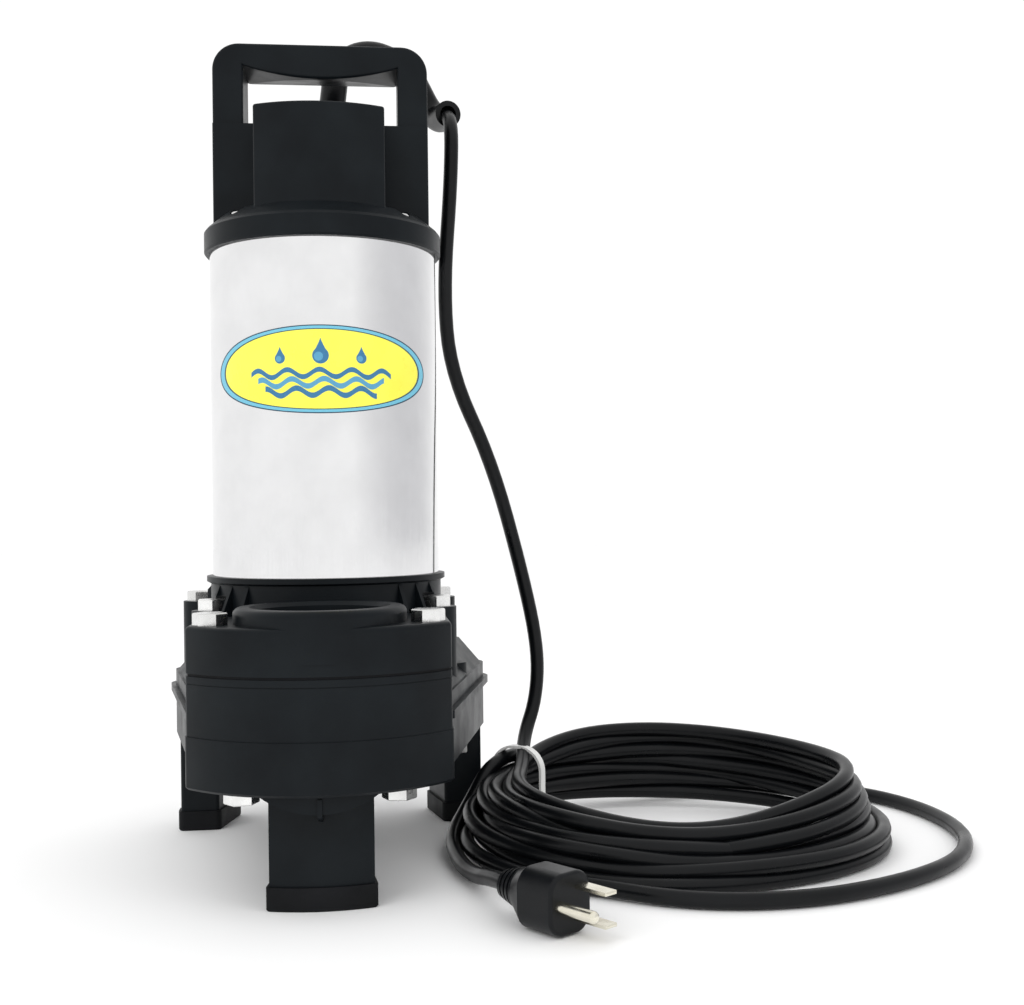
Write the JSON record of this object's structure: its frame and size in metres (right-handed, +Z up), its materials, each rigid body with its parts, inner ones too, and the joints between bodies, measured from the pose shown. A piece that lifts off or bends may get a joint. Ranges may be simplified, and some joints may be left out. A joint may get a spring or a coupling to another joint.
{
  "type": "submersible fountain pump",
  "caption": "Upright submersible fountain pump: bolted volute casing on feet, threaded upright outlet, steel motor shell, bow handle, coiled power cord with plug.",
  "frame": {"origin": "centre of the pump's footprint on the floor, without the cord", "axes": "+Z up along the motor shaft, -Y towards the outlet (front), +X to the right seen from the front"},
  "size_m": [0.4073, 0.2717, 0.4214],
  "materials": {
    "casing_plastic": "satin",
    "rubber": "matte",
    "zinc_steel": "satin",
    "stainless_shell": "polished",
    "stainless_dark": "satin",
    "label": "gloss",
    "impeller_plastic": "satin",
    "seal_carbon": "matte",
    "ceramic": "gloss",
    "bearing_steel": "polished",
    "lamination": "matte",
    "rotor_aluminium": "cast",
    "copper": "enamelled",
    "cast_aluminium": "cast",
    "capacitor_can": "gloss",
    "terminal_plastic": "matte",
    "cord_rubber": "satin",
    "tie_nylon": "satin",
    "plug_vinyl": "satin",
    "plug_brass": "plated",
    "clip_steel": "satin"
  },
  "bodies": {
    "housing": {"lower_casing": "casing_plastic", "casing_gasket": "rubber", "upper_casing": "casing_plastic", "casing_screws": "zinc_steel", "discharge_gasket": "rubber", "discharge_flange": "casing_plastic", "flange_bolts": "zinc_steel", "wear_plate": "stainless_dark", "suction_strainer": "casing_plastic", "strainer_screws": "zinc_steel", "foot_front": "rubber", "foot_rear_left": "rubber", "foot_rear_right": "rubber", "motor_bracket": "casing_plastic", "bracket_bolts": "zinc_steel", "seal_seat": "ceramic", "shaft_lip_seal": "rubber", "lower_bearing_outer_race": "bearing_steel", "upper_bearing_outer_race": "bearing_steel", "stator_core": "lamination", "stator_windings": "copper", "upper_bearing_bracket": "cast_aluminium", "motor_shell": "stainless_shell", "shell_label": "label", "shell_seal_bottom": "rubber", "shell_seal_top": "rubber", "top_cover": "casing_plastic", "cover_screws": "zinc_steel", "handle": "casing_plastic", "handle_screws": "zinc_steel", "capacitor": "capacitor_can", "capacitor_clip": "clip_steel", "terminal_block": "terminal_plastic", "inner_lead": "cord_rubber", "gland_grommet": "rubber", "gland_nut": "casing_plastic", "cord_boot": "cord_rubber", "cord_hanging": "cord_rubber", "cord_coil": "cord_rubber", "cord_loop": "cord_rubber", "cord_lead": "cord_rubber", "cord_tie": "tie_nylon", "plug_collar": "plug_vinyl", "plug_body": "plug_vinyl", "plug_blades": "plug_brass", "plug_pin": "plug_brass"},
    "rotor": {"motor_shaft": "stainless_dark", "rotor_core": "lamination", "rotor_cage": "rotor_aluminium", "lower_bearing_inner_race": "bearing_steel", "upper_bearing_inner_race": "bearing_steel", "impeller": "impeller_plastic", "impeller_key": "stainless_dark", "impeller_nut": "zinc_steel", "seal_head": "seal_carbon", "seal_spring": "stainless_dark"},
    "lower_cage": {"lower_bearing_balls": "bearing_steel"},
    "upper_cage": {"upper_bearing_balls": "bearing_steel"}
  },
  "joints": [
    {"name": "rotor_spin", "type": "hinge", "parent": "housing", "child": "rotor", "pos_m": [0, 0.0175, 0.2], "axis": [0, 0, 1], "continuous": true},
    {"name": "lower_cage_spin", "type": "hinge", "parent": "housing", "child": "lower_cage", "pos_m": [0, 0.0175, 0.13], "axis": [0, 0, 1], "continuous": true},
    {"name": "upper_cage_spin", "type": "hinge", "parent": "housing", "child": "upper_cage", "pos_m": [0, 0.0175, 0.282], "axis": [0, 0, 1], "continuous": true}
  ],
  "couplings": [
    {"joint": "lower_cage_spin", "follows": "rotor_spin", "ratio": 0.382},
    {"joint": "upper_cage_spin", "follows": "rotor_spin", "ratio": 0.382}
  ]
}
